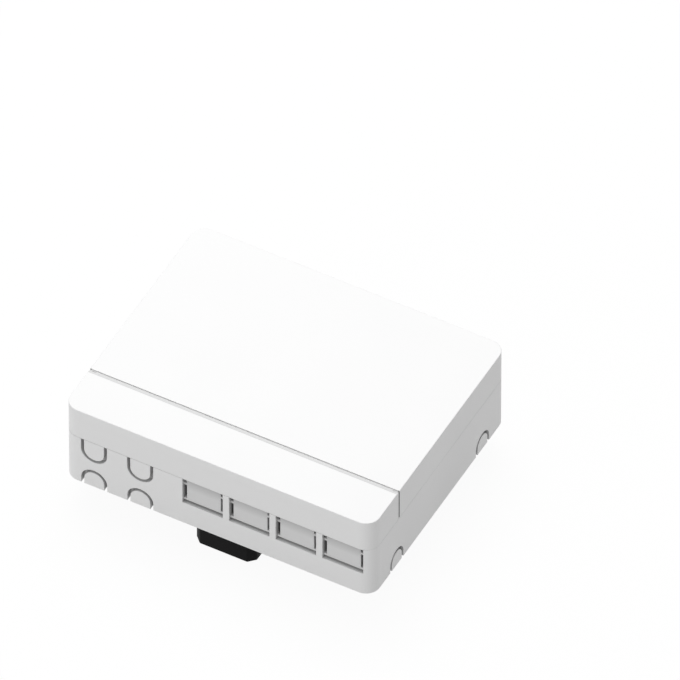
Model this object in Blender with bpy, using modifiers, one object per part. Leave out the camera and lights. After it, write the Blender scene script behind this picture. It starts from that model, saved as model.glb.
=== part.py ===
"""Fibre optic box with four adapter ports, clipped on a bracket with two feet for a 35 mm rail.

The case is three mouldings: a base, a front cap over the ports and a lid hinged at the back.
X runs along the front, +Y goes to the back and +Z is up. All lengths are in metres.
"""
import bmesh
import bpy
from math import atan2, cos, degrees, pi, radians, sin, tan
from mathutils import Matrix, Vector

# Case. Heights are measured up from the bottom rim. The cap has a ledge in front of its seam with
# the lid, and its side walls stand back a little further there.
case_width = 0.0995
case_depth = 0.080
case_height = 0.029
case_wall = 0.002
case_corner_radius = 0.0044
cover_edge_radius = 0.0002
parting_height = 0.0180
parting_gap = 0.0002
floor_underside = 0.0070
floor_thickness = 0.0014
front_cap_depth = 0.0159
seam_gap = 0.0003
seam_side_relief = 0.0002
seam_ledge_width = 0.0012
seam_ledge_drop = 0.0003
fit_gap = 0.0003

# Adapter ports in the front wall, each closed by a break-out panel on four nibs.
port_count = 4
entry_share = 0.376
last_divider_to_side = 0.00208
divider_thickness = 0.0016
port_sill = 0.00825
port_recess = 0.0008
port_side_slack = 0.0001
panel_side_slit = 0.00105
panel_corner_radius = 0.0010
panel_bottom_slit = 0.00075
nib_height = 0.0008
nib_below_top = 0.0020

# Round knock-outs for cables, scored in the walls.
entry_count = 2
entry_first_share = 0.258
entry_last_share = 0.646
entry_radius = 0.0042
side_entry_radius = 0.0039
entry_score_width = 0.0010
entry_score_depth = 0.0017
upper_entry_centre = 0.0142
lower_entry_centre = 0.0024
side_entry_inset = 0.0145

# Adapters, their dust seals, seats and plugs.
seal_thickness = 0.0008
adapter_height = 0.0092
adapter_length = 0.0250
adapter_side_wall = 0.0018
adapter_bore_height = 0.0076
adapter_bore_depth = 0.0113
adapter_collar_overhang = 0.0006
adapter_collar_length = 0.0012
adapter_collar_to_front = 0.0086
adapter_key_width = 0.0024
adapter_key_length = 0.0030
divider_length = 0.0220
sleeve_radius = 0.00160
sleeve_bore_radius = 0.00125
sleeve_length = 0.0114
sleeve_slit = 0.0004
sleeve_tube_wall = 0.0007
sleeve_tube_length = 0.0126
plug_depth = 0.0060
plug_flange_margin = 0.0009
plug_flange_thickness = 0.0010
plug_grip_width = 0.0044
plug_grip_height = 0.0030
plug_grip_length = 0.0025

# Lid and its hook hinge.
hook_spacing = 0.0360
hook_width = 0.0100
hook_thickness = 0.0015
hook_root_height = 0.0040
hook_reach = 0.0015
hook_lip_height = 0.0011
hook_lip_below_parting = 0.0032
hook_ledge_height = 0.0022
lid_rib_thickness = 0.0012
lid_rib_depth = 0.0020
lid_rib_length = 0.0400
lid_rib_to_back = 0.0100
edge_rib_thickness = 0.0012
edge_rib_depth = 0.0030
edge_rib_inset = 0.0008

# Front cap tongues and hold-down ribs.
tongue_width = 0.0054
tongue_length = 0.0042
tongue_to_seam = 0.0032
tongue_thickness = 0.0007
tongue_barb = 0.0005
tongue_barb_height = 0.0009
tongue_pocket_depth = 0.0010
front_tongue_thickness = 0.0012
front_tongue_width = 0.0050
hold_rib_count = 2
hold_rib_thickness = 0.0012
hold_rib_spacing = 0.0060
hold_rib_to_front = 0.0060

# Cable clamp behind the front knock-outs.
clamp_to_front = 0.0085
clamp_to_wall = 0.00025
clamp_screw_to_end = 0.0025
clamp_width = 0.0050
clamp_thickness = 0.0018
clamp_boss_radius = 0.0023
clamp_boss_height = 0.0050
clamp_cable_radius = 0.0028
clamp_cable_rise = 0.0032
clamp_screw_radius = 0.0011
clamp_screw_length = 0.0070
clamp_screw_head_radius = 0.0022
clamp_screw_head_height = 0.0014
clamp_recess_depth = 0.0007
clamp_pilot_radius = 0.0014
saddle_height = 0.0006
saddle_length = 0.0008
saddle_pitch = 0.0020

# Fibre spools, splice holder and holes in the floor.
spool_centre_share = 0.200
spool_radius_share = 0.125
spool_to_back = 0.0220
spool_wall = 0.0012
spool_height = 0.0080
spool_arc = 56.0
spool_tab_length = 0.0035
spool_tab_width = 0.0040
spool_tab_thickness = 0.0012
wall_screw_radius = 0.0022
holder_to_back = 0.0220
holder_to_spool = 0.0033
holder_plate_thickness = 0.0012
holder_channels = 4
holder_channel_width = 0.0032
holder_finger_width = 0.0010
holder_stem_width = 0.0008
holder_finger_height = 0.0055
holder_finger_rows = 3
holder_row_gap = 0.0040
holder_bulb_width = 0.0015
holder_bulb_height = 0.0014
peg_radius = 0.0013
peg_height = 0.0022
peg_to_holder_end = 0.0030
cable_slot_length = 0.0160
cable_slot_width = 0.0070
cable_slot_to_side = 0.0180
cable_slot_to_front = 0.0235

# Bracket: a cross plate under the case with two lips, two nut bosses and two snap posts.
plate_thickness = 0.0020
arm_to_wall = 0.0005
arm_width = 0.0230
arm_corner_radius = 0.0055
wing_width = 0.0250
wing_to_wall = 0.00125
wing_fillet = 0.0025
lip_thickness = 0.00175
lip_rise = 0.0070
rib_to_arm_end = 0.0145
rib_width = 0.0010
rib_height = 0.0008
rib_spacing = 0.0110
boss_to_lip = 0.0075
boss_radius = 0.0055
boss_height = 0.0040
post_to_arm_end = 0.0085
post_radius = 0.0029
post_head_radius = 0.0036
post_tip_radius = 0.0024
post_head_height = 0.0032
post_slit = 0.0014
post_stem_width = 0.0016
post_cap_thickness = 0.0012
drip_hole_radius = 0.0009
drip_hole_offset = 0.0050
foot_seat_depth = 0.0005

# Feet that hold the rail, and their screws and nuts.
foot_height = 0.0081
foot_width = 0.0195
foot_corner_chamfer = 0.0021
rear_foot_setback = 0.0050
rail_width = 0.0350
jaw_reach = 0.0020
jaw_slot_height = 0.0014
jaw_lead_in = 0.0016
screw_radius = 0.0020
screw_head_radius = 0.0036
screw_head_height = 0.0024
screw_head_recess = 0.0005
screw_past_nut = 0.0012
screw_dome_share = 0.6
recess_width = 0.0009
recess_to_rim = 0.0008
recess_depth = 0.0011
nut_across_flats = 0.0070
nut_height = 0.0032
nut_bore_slack = 0.00015

# Levels and edges that follow from the sizes above. The feet stand on z = 0.
overshoot = 0.001
weld_depth = 0.0002
same_point = 1e-6
round_sides = 32
small_round_sides = 20
sharp_edge_angle = 35
front = -case_depth / 2
back = case_depth / 2
side = case_width / 2
wing_underside = foot_height + fit_gap
plate_underside = wing_underside - foot_seat_depth
plate_top = plate_underside + plate_thickness
rim = plate_top + fit_gap
floor_top = rim + floor_underside + floor_thickness
base_top = rim + parting_height - parting_gap / 2
cover_bottom = rim + parting_height + parting_gap / 2
cover_top = rim + case_height
roof = cover_top - case_wall
seam = front + front_cap_depth
port_pitch = (case_width * (1 - entry_share) - last_divider_to_side) / port_count
port_centres = [side - last_divider_to_side - (index + 0.5) * port_pitch
                for index in reversed(range(port_count))]
adapter_width = port_pitch - divider_thickness - 2 * fit_gap
adapter_bore_width = adapter_width - 2 * adapter_side_wall
adapter_collar_width = adapter_width + 2 * adapter_collar_overhang
port_width = adapter_width + 2 * port_side_slack
panel_width = port_width - 2 * panel_side_slit
plain_front = port_centres[0] - port_width / 2 + side
entry_step = (entry_last_share - entry_first_share) * plain_front / (entry_count - 1)
entry_centres = [entry_first_share * plain_front + index * entry_step - side
                 for index in range(entry_count)]
seal_front = front + case_wall + fit_gap
adapter_front = seal_front + seal_thickness + fit_gap
adapter_bottom = floor_top + fit_gap
spool_to_side = spool_centre_share * case_width
spool_radius = spool_radius_share * case_width
clamp_centre = sum(entry_centres) / entry_count
clamp_length = 2 * (clamp_centre + side - case_wall - clamp_to_wall)
clamp_screw_spacing = clamp_length - 2 * clamp_screw_to_end
holder_length = 2 * (side - spool_to_side - spool_radius - spool_wall - holder_to_spool)
holder_finger_length = (holder_length - (holder_finger_rows - 1) * holder_row_gap) / holder_finger_rows
peg_spacing = holder_length - 2 * peg_to_holder_end
arm_length = case_width - 2 * (case_wall + arm_to_wall)
wing_span = case_depth - 2 * (case_wall + wing_to_wall)
rib_length = arm_length - 2 * rib_to_arm_end
post_spacing = arm_length - 2 * post_to_arm_end
foot_screw_offset = wing_span / 2 - lip_thickness - boss_to_lip

for old in list(bpy.data.objects):
    bpy.data.objects.remove(old, do_unlink=True)
box_parts = bpy.data.collections.new("fibre_optic_box")
tools = bpy.data.collections.new("cutters_and_tools")
bpy.context.scene.collection.children.link(box_parts)
bpy.context.scene.collection.children.link(tools)


def plastic(name, colour, roughness):
    """A moulded plastic finish."""
    finish = bpy.data.materials.new(name)
    finish.use_nodes = True
    shader = finish.node_tree.nodes["Principled BSDF"]
    shader.inputs["Base Color"].default_value = (*colour, 1.0)
    shader.inputs["Roughness"].default_value = roughness
    return finish


def metal(name, colour, roughness):
    """A plated metal finish."""
    finish = plastic(name, colour, roughness)
    finish.node_tree.nodes["Principled BSDF"].inputs["Metallic"].default_value = 1.0
    return finish


def store(name, bm, collection=tools):
    """Put a finished bmesh in the scene as an object."""
    mesh = bpy.data.meshes.new(name)
    bm.to_mesh(mesh)
    bm.free()
    made = bpy.data.objects.new(name, mesh)
    collection.objects.link(made)
    if collection is tools:
        made.hide_render = True
        made.display_type = "WIRE"
    return made


def finish_part(made, finish):
    """Settle a part's cuts into its mesh, so that its new edges stay sharp, and give it its material."""
    bpy.context.view_layer.update()
    settled = bpy.data.meshes.new_from_object(made.evaluated_get(bpy.context.evaluated_depsgraph_get()))
    made.modifiers.clear()
    made.data = settled
    settled.materials.clear()
    settled.materials.append(finish)
    settled.shade_smooth()
    settled.set_sharp_from_angle(angle=radians(sharp_edge_angle))


def boolean(target, tool, operation):
    """Cut a tool from a target, or join it on."""
    modifier = target.modifiers.new(tool.name, "BOOLEAN")
    modifier.operation = operation
    modifier.solver = "EXACT"
    modifier.object = tool


def cut(target, tool):
    boolean(target, tool, "DIFFERENCE")


def join(target, tool):
    boolean(target, tool, "UNION")


def blocks(name, corners, collection=tools):
    """Plain blocks in one mesh, each from its low corner to its high corner."""
    bm = bmesh.new()
    for low, high in corners:
        low, high = Vector(low), Vector(high)
        place = Matrix.Translation((low + high) / 2) @ Matrix.Diagonal((*(high - low), 1.0))
        bmesh.ops.create_cube(bm, size=1.0, matrix=place)
    return store(name, bm, collection)


def cylinders(name, centres, radius, bottom, top, sides=round_sides, collection=tools):
    """Upright round or polygonal bars in one mesh."""
    bm = bmesh.new()
    for x, y in centres:
        place = Matrix.Translation((x, y, (bottom + top) / 2))
        bmesh.ops.create_cone(bm, cap_ends=True, segments=sides, radius1=radius, radius2=radius,
                              depth=top - bottom, matrix=place)
    return store(name, bm, collection)


def case_form(name, inset, bottom, top, edge_radius=0.0, collection=tools):
    """The case's outline, drawn in by inset, as a block with rounded corners."""
    bm = bmesh.new()
    size = Vector((case_width - 2 * inset, case_depth - 2 * inset, top - bottom))
    place = Matrix.Translation((0, 0, (bottom + top) / 2)) @ Matrix.Diagonal((*size, 1.0))
    bmesh.ops.create_cube(bm, size=1.0, matrix=place)
    upright = [edge for edge in bm.edges if abs(edge.verts[0].co.z - edge.verts[1].co.z) > size.z / 2]
    bmesh.ops.bevel(bm, geom=upright, offset=case_corner_radius - inset, segments=8, profile=0.5,
                    affect="EDGES")
    if edge_radius:
        roof_face = max(bm.faces, key=lambda face: face.calc_center_median().z)
        bmesh.ops.bevel(bm, geom=list(roof_face.edges), offset=edge_radius, segments=4, profile=0.5,
                        affect="EDGES")
    return store(name, bm, collection)


def arc(centre, radius, start, end, steps=12):
    """Points on an arc, with angles in degrees."""
    points = []
    for step in range(steps + 1):
        angle = radians(start + (end - start) * step / steps)
        points.append((centre[0] + radius * cos(angle), centre[1] + radius * sin(angle)))
    return points


def circle(centre, radius, sides=24):
    """Points all the way round a circle."""
    return arc(centre, radius, 0, 360 - 360 / sides, sides - 1)


def rounded(corners, steps=6):
    """An outline from (x, y, radius) corners, each turned into an arc of its radius."""
    points = []
    for index, (x, y, radius) in enumerate(corners):
        if radius == 0:
            points.append((x, y))
            continue
        corner = Vector((x, y))
        before = (Vector(corners[index - 1][:2]) - corner).normalized()
        after = (Vector(corners[(index + 1) % len(corners)][:2]) - corner).normalized()
        half = before.angle(after) / 2
        centre = corner + (before + after).normalized() * (radius / sin(half))
        first = corner + before * (radius / tan(half)) - centre
        turn = (corner + after * (radius / tan(half)) - centre).angle_signed(first)
        start = atan2(first.y, first.x)
        for step in range(steps + 1):
            angle = start + turn * step / steps
            points.append((centre.x + radius * cos(angle), centre.y + radius * sin(angle)))
    return points


def outline_solid(name, outlines, start, end, along, collection=tools):
    """Flat outlines extruded from start to end along an axis, welded to a mesh.

    An outline's two coordinates are the other two axes, in X, Y, Z order.
    """
    curve = bpy.data.curves.new(name, "CURVE")
    curve.dimensions = "2D"
    curve.fill_mode = "BOTH"
    curve.extrude = (end - start) / 2
    curve.render_resolution_u = 0
    for outline in outlines:
        spline = curve.splines.new("POLY")
        spline.points.add(len(outline) - 1)
        for point, (first, second) in zip(spline.points, outline):
            point.co = (first, second, 0, 1)
        spline.use_cyclic_u = True
    drawn = bpy.data.objects.new(name, curve)
    tools.objects.link(drawn)
    bpy.context.view_layer.update()
    mesh = bpy.data.meshes.new_from_object(drawn.evaluated_get(bpy.context.evaluated_depsgraph_get()))
    bpy.data.objects.remove(drawn, do_unlink=True)
    columns = {"X": ((0, 0, 1), (1, 0, 0), (0, 1, 0)),
               "Y": ((1, 0, 0), (0, 0, 1), (0, 1, 0)),
               "Z": ((1, 0, 0), (0, 1, 0), (0, 0, 1))}[along]
    turn = Matrix(columns).to_4x4()
    shift = Vector([(start + end) / 2 if axis == along else 0 for axis in "XYZ"])
    bm = bmesh.new()
    bm.from_mesh(mesh)
    bpy.data.meshes.remove(mesh)
    bmesh.ops.transform(bm, matrix=Matrix.Translation(shift) @ turn, verts=bm.verts)
    bmesh.ops.remove_doubles(bm, verts=bm.verts, dist=same_point)
    bmesh.ops.dissolve_limit(bm, angle_limit=radians(0.5), verts=bm.verts, edges=bm.edges)
    bmesh.ops.recalc_face_normals(bm, faces=bm.faces)
    return store(name, bm, collection)


def turned(name, profile, centre, steps=round_sides, collection=tools):
    """A profile of (radius, height) points, top to bottom, turned about an upright axis."""
    bm = bmesh.new()
    points = [bm.verts.new((radius, 0, height)) for radius, height in profile]
    for first, second in zip(points, points[1:]):
        bm.edges.new((first, second))
    made = store(name, bm, collection)
    made.location = (*centre, 0)
    screw = made.modifiers.new("turn", "SCREW")
    screw.steps = steps
    screw.render_steps = steps
    screw.use_merge_vertices = True
    screw.merge_threshold = same_point
    return made


white = plastic("white_abs", (0.86, 0.86, 0.85), 0.42)
black = plastic("black_nylon", (0.012, 0.012, 0.013), 0.5)
green = plastic("green_polycarbonate", (0.02, 0.30, 0.12), 0.35)
grey = plastic("grey_dust_plug", (0.55, 0.56, 0.57), 0.6)
foam = plastic("black_foam", (0.03, 0.03, 0.03), 0.9)
ceramic = plastic("white_ceramic", (0.90, 0.88, 0.84), 0.2)
zinc = metal("zinc_plated_steel", (0.70, 0.71, 0.73), 0.3)


def cut_ports(base):
    """Recesses in the front wall, with slits that leave each panel on its nibs."""
    sill = rim + port_sill
    half_port = port_width / 2
    half_panel = panel_width / 2
    wall_inside = front + case_wall + weld_depth
    recesses = []
    slits = []
    shoulders = []
    for x in port_centres:
        recesses.append(((x - half_port, front - overshoot, sill),
                         (x + half_port, front + port_recess, base_top + overshoot)))
        slits.append(((x - half_port, front - overshoot, sill),
                      (x + half_port, wall_inside, sill + panel_bottom_slit)))
        for hand in (-1, 1):
            edges = sorted((x + hand * half_port, x + hand * half_panel))
            slits.append(((edges[0], front - overshoot, sill + panel_bottom_slit + nib_height),
                          (edges[1], wall_inside, base_top - nib_below_top - nib_height)))
            centre = (x + hand * (half_panel - panel_corner_radius), base_top - panel_corner_radius)
            turn = (0, 90) if hand > 0 else (180, 90)
            shoulders.append(arc(centre, panel_corner_radius, *turn, steps=5)
                             + [(centre[0], base_top + overshoot),
                                (x + hand * half_port, base_top + overshoot),
                                (x + hand * half_port, base_top - nib_below_top),
                                (x + hand * half_panel, base_top - nib_below_top)])
    cut(base, blocks("port_recesses", recesses))
    cut(base, blocks("panel_slits", slits))
    cut(base, outline_solid("panel_shoulders", shoulders, front - overshoot, wall_inside, "Y"))


def score(centre, level, radius, opens_to):
    """The outline of a score round a knock-out whose legs run to the height opens_to."""
    inner = radius - entry_score_width
    turn = (180, 360) if opens_to > level else (180, 0)
    outside = arc((centre, level), radius, *turn)
    inside = arc((centre, level), inner, *reversed(turn))
    return ([(centre - radius, opens_to)] + outside + [(centre + radius, opens_to)]
            + [(centre + inner, opens_to)] + inside + [(centre - inner, opens_to)])


def cut_knock_outs(base):
    """Scores for the cables: two rows in the front wall and two arches in each side."""
    upper_level, lower_level = rim + upper_entry_centre, rim + lower_entry_centre
    upper = [score(x, upper_level, entry_radius, base_top + overshoot) for x in entry_centres]
    lower = [score(x, lower_level, entry_radius, rim - overshoot) for x in entry_centres]
    cut(base, outline_solid("front_scores", upper + lower, front - overshoot,
                            front + entry_score_depth, "Y"))
    arches = [score(y, lower_level, side_entry_radius, rim - overshoot)
              for y in (front + side_entry_inset, back - side_entry_inset)]
    cut(base, outline_solid("left_scores", arches, -side - overshoot, -side + entry_score_depth, "X"))
    cut(base, outline_solid("right_scores", arches, side - entry_score_depth, side + overshoot, "X"))


def add_dividers(base):
    """Walls between the adapters, each broken where the adapters' collars drop in."""
    inner_front = front + case_wall
    collar_front = adapter_front + adapter_collar_to_front
    collar_back = collar_front + adapter_collar_length
    walls = []
    for x in port_centres:
        middle = x - port_pitch / 2
        for start, end in ((inner_front - weld_depth, collar_front - fit_gap),
                           (collar_back + fit_gap, inner_front + divider_length)):
            walls.append(((middle - divider_thickness / 2, start, floor_top - weld_depth),
                          (middle + divider_thickness / 2, end, base_top - fit_gap)))
    join(base, blocks("adapter_dividers", walls))


def clamp_screw_places():
    """Where the two clamp screws stand."""
    y = front + clamp_to_front
    return [(clamp_centre + hand * clamp_screw_spacing / 2, y) for hand in (-1, 1)]


def add_clamp_seat(base):
    """Two screw bosses, and ribbed saddles that grip each cable from below."""
    places = clamp_screw_places()
    boss_top = floor_top + clamp_boss_height
    join(base, cylinders("clamp_bosses", places, clamp_boss_radius, floor_top - weld_depth, boss_top))
    cut(base, cylinders("clamp_pilots", places, clamp_pilot_radius, floor_top + fit_gap,
                        boss_top + overshoot, small_round_sides))
    saddles = []
    for x in entry_centres:
        for offset in (-saddle_pitch, 0, saddle_pitch):
            y = front + clamp_to_front + offset
            saddles.append(((x - clamp_cable_radius, y - saddle_length / 2, floor_top - weld_depth),
                            (x + clamp_cable_radius, y + saddle_length / 2, floor_top + saddle_height)))
    join(base, blocks("cable_saddles", saddles))


def spool_places():
    """The centres of the two fibre spools."""
    return [(hand * (side - spool_to_side), back - spool_to_back) for hand in (-1, 1)]


def add_spools(base):
    """Broken rings that the spare fibre is wound round, with tabs to keep it down."""
    fences = []
    tabs = []
    outer = spool_radius + spool_wall
    for x, y in spool_places():
        for middle in (45, 135, 225, 315):
            start, end = middle - spool_arc / 2, middle + spool_arc / 2
            fences.append(arc((x, y), outer, start, end, 8) + arc((x, y), spool_radius, end, start, 8))
            along = Vector((cos(radians(middle)), sin(radians(middle))))
            across = Vector((-along.y, along.x)) * spool_tab_width / 2
            root = Vector((x, y)) + along * (spool_radius + spool_wall / 2)
            tip = Vector((x, y)) + along * (outer + spool_tab_length)
            tabs.append([tuple(root - across), tuple(tip - across), tuple(tip + across),
                         tuple(root + across)])
    fence_top = floor_top + spool_height
    join(base, outline_solid("spool_fences", fences, floor_top - weld_depth, fence_top, "Z"))
    join(base, outline_solid("spool_tabs", tabs, fence_top - weld_depth - spool_tab_thickness,
                             fence_top - weld_depth, "Z"))


def peg_places():
    """The two pegs that locate the splice holder."""
    y = back - holder_to_back
    return [(hand * peg_spacing / 2, y) for hand in (-1, 1)]


def cut_floor_holes(base):
    """Holes for the bracket's snap posts, for wall screws and for a cable from behind."""
    low, high = rim + floor_underside - overshoot, floor_top + overshoot
    posts = [(hand * post_spacing / 2, 0) for hand in (-1, 1)]
    cut(base, cylinders("post_holes", posts, post_radius + fit_gap, low, high))
    cut(base, cylinders("wall_screw_holes", spool_places(), wall_screw_radius, low, high,
                        small_round_sides))
    x, y = cable_slot_to_side - side, front + cable_slot_to_front
    half_length, half_width = cable_slot_length / 2, cable_slot_width / 2
    slot = (arc((x + half_length - half_width, y), half_width, -90, 90)
            + arc((x - half_length + half_width, y), half_width, 90, 270))
    cut(base, outline_solid("cable_slot", [slot], low, high, "Z"))


def hook_places():
    """The middles of the two hinge hooks along X."""
    return [hand * hook_spacing / 2 for hand in (-1, 1)]


def tongue_span():
    """How far the cap's side tongues run along Y."""
    return seam - tongue_to_seam - tongue_width, seam - tongue_to_seam


def cut_cover_seats(base):
    """Slots in the back wall for the lid's hooks, and pockets for the cap's side tongues."""
    slots = [((x - hook_width / 2 - fit_gap, back - case_wall - overshoot,
               rim + parting_height - hook_lip_below_parting - hook_lip_height - fit_gap),
              (x + hook_width / 2 + fit_gap, back + overshoot,
               rim + parting_height - hook_ledge_height)) for x in hook_places()]
    cut(base, blocks("hook_slots", slots))
    start, end = tongue_span()
    tip = cover_bottom - tongue_length
    pockets = []
    barbs = []
    for hand in (-1, 1):
        inner = side - case_wall - overshoot
        grooves = (pockets, side - case_wall + tongue_pocket_depth, base_top + overshoot), \
                  (barbs, side - case_wall + tongue_thickness + tongue_barb + fit_gap,
                   tip + tongue_barb_height + 2 * fit_gap)
        for group, outer, top in grooves:
            low_x, high_x = sorted((hand * inner, hand * outer))
            group.append(((low_x, start - fit_gap, tip - fit_gap), (high_x, end + fit_gap, top)))
    cut(base, blocks("tongue_pockets", pockets))
    cut(base, blocks("barb_pockets", barbs))


def clear_corner(shell, name):
    """Cut back the inner corner of a shell where the last adapter stands in it."""
    reach = adapter_width / 2 + fit_gap
    cut(shell, blocks(name, [((port_centres[-1] - reach, front + case_wall, floor_top),
                              (port_centres[-1] + reach, front + case_corner_radius,
                               adapter_bottom + adapter_height + fit_gap))]))


def make_base():
    """The tray: a skirt over the bracket, a floor, walls with the ports, and its fittings."""
    base = case_form("base", 0.0, rim, base_top, collection=box_parts)
    cut(base, case_form("tray_room", case_wall, floor_top, base_top + overshoot))
    cut(base, case_form("skirt_room", case_wall, rim - overshoot, rim + floor_underside))
    clear_corner(base, "base_corner_room")
    add_dividers(base)
    add_clamp_seat(base)
    add_spools(base)
    join(base, cylinders("holder_pegs", peg_places(), peg_radius, floor_top - weld_depth,
                         floor_top + peg_height, small_round_sides))
    cut_floor_holes(base)
    cut_ports(base)
    cut_knock_outs(base)
    cut_cover_seats(base)
    finish_part(base, white)


def cover_shell(name, keep_front):
    """One of the two covers: the case's top, hollowed and cut off at the seam."""
    shell = case_form(name, 0.0, cover_bottom, cover_top, cover_edge_radius, box_parts)
    cut(shell, case_form(name + "_room", case_wall, cover_bottom - overshoot, roof))
    half_gap = seam_gap / 2
    if keep_front:
        start, end = seam - half_gap, back + overshoot
    else:
        start, end = front - overshoot, seam + half_gap
    cut(shell, blocks(name + "_trim", [((-side - overshoot, start, cover_bottom - overshoot),
                                        (side + overshoot, end, cover_top + overshoot))]))
    return shell


def edge_rib(name, edge, hand):
    """A stiffening rib under the roof, just behind a cover's edge at the seam."""
    near, far = edge + hand * edge_rib_inset, edge + hand * (edge_rib_inset + edge_rib_thickness)
    reach = side - case_wall + weld_depth
    return blocks(name, [((-reach, min(near, far), roof - edge_rib_depth),
                          (reach, max(near, far), roof + weld_depth))])


def make_front_cap():
    """The cover over the ports and cable entries, snapped into the side walls."""
    cap = cover_shell("front_cap", keep_front=True)
    clear_corner(cap, "cap_corner_room")
    edge = seam - seam_gap / 2
    join(cap, edge_rib("cap_edge_rib", edge, -1))
    cut(cap, blocks("cap_seam_ledge", [((-side - overshoot, edge - seam_ledge_width,
                                         cover_top - seam_ledge_drop),
                                        (side + overshoot, edge + overshoot, cover_top + overshoot))]))
    side_reliefs = []
    for hand in (-1, 1):
        low_x, high_x = sorted((hand * (side - case_wall), hand * (side + overshoot)))
        side_reliefs.append(((low_x, edge - seam_side_relief, cover_bottom - overshoot),
                             (high_x, edge + overshoot, cover_top)))
    cut(cap, blocks("cap_side_reliefs", side_reliefs))
    start, end = tongue_span()
    inner = side - case_wall
    tip = cover_bottom - tongue_length
    tongues = []
    barbs = []
    for hand in (-1, 1):
        low_x, high_x = sorted((hand * inner, hand * (inner + tongue_thickness)))
        tongues.append(((low_x, start, tip), (high_x, end, cover_bottom + weld_depth)))
        low_x, high_x = sorted((hand * (inner + tongue_thickness - weld_depth),
                                hand * (inner + tongue_thickness + tongue_barb)))
        barbs.append(((low_x, start, tip), (high_x, end, tip + tongue_barb_height)))
    join(cap, blocks("cap_tongues", tongues))
    join(cap, blocks("cap_barbs", barbs))
    inside = front + case_wall
    guide = ((clamp_centre - front_tongue_width / 2, inside + fit_gap, cover_bottom - tongue_length),
             (clamp_centre + front_tongue_width / 2, inside + fit_gap + front_tongue_thickness,
              roof + weld_depth))
    join(cap, blocks("cap_front_guide", [guide]))
    guide_root = ((guide[0][0], inside - weld_depth, cover_bottom + fit_gap),
                  (guide[1][0], inside + fit_gap + weld_depth, roof + weld_depth))
    join(cap, blocks("cap_guide_root", [guide_root]))
    ribs = []
    for index in range(hold_rib_count):
        y = front + hold_rib_to_front + index * hold_rib_spacing
        ribs.append(((port_centres[0] - adapter_width / 2, y - hold_rib_thickness / 2,
                      adapter_bottom + adapter_height + fit_gap),
                     (side - case_wall + weld_depth, y + hold_rib_thickness / 2, roof + weld_depth)))
    join(cap, blocks("cap_hold_ribs", ribs))
    finish_part(cap, white)


def make_lid():
    """The hinged cover over the splice room. Its origin is on the hinge axis."""
    lid = cover_shell("lid", keep_front=False)
    join(lid, edge_rib("lid_edge_rib", seam + seam_gap / 2, 1))
    inner = side - case_wall
    ribs = []
    for hand in (-1, 1):
        low_x, high_x = sorted((hand * (inner - fit_gap), hand * (inner - fit_gap - lid_rib_thickness)))
        ribs.append(((low_x, back - lid_rib_to_back - lid_rib_length, cover_bottom - lid_rib_depth),
                     (high_x, back - lid_rib_to_back, roof + weld_depth)))
    join(lid, blocks("lid_side_ribs", ribs))
    wall_inside = back - case_wall
    outer = wall_inside - fit_gap
    parting = rim + parting_height
    lip_top = parting - hook_lip_below_parting
    lip_bottom = lip_top - hook_lip_height
    hook = [(outer - hook_thickness, lip_bottom), (outer + hook_reach, lip_bottom),
            (outer + hook_reach, lip_top), (outer, lip_top), (outer, cover_bottom),
            (wall_inside + weld_depth, cover_bottom),
            (wall_inside + weld_depth, cover_bottom + hook_root_height),
            (outer - hook_thickness, cover_bottom + hook_root_height)]
    for number, x in enumerate(hook_places(), start=1):
        join(lid, outline_solid(f"lid_hook_{number}", [hook], x - hook_width / 2, x + hook_width / 2, "X"))
    hinge = Vector((0, back, parting))
    lid.location = hinge
    lid.data.transform(Matrix.Translation(-hinge))
    finish_part(lid, white)


def make_seal(number, x):
    """The foam frame that keeps dust out of a port's slits, in front of its adapter."""
    half_x, half_z = adapter_width / 2, adapter_height / 2
    middle_z = adapter_bottom + half_z
    seal = blocks(f"dust_seal_{number}", [((x - half_x, seal_front, middle_z - half_z),
                                           (x + half_x, seal_front + seal_thickness, middle_z + half_z))],
                  box_parts)
    half_x, half_z = adapter_bore_width / 2, adapter_bore_height / 2
    cut(seal, blocks(f"seal_window_{number}", [((x - half_x, seal_front - overshoot, middle_z - half_z),
                                                (x + half_x, seal_front + seal_thickness + overshoot,
                                                 middle_z + half_z))]))
    finish_part(seal, foam)


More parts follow.
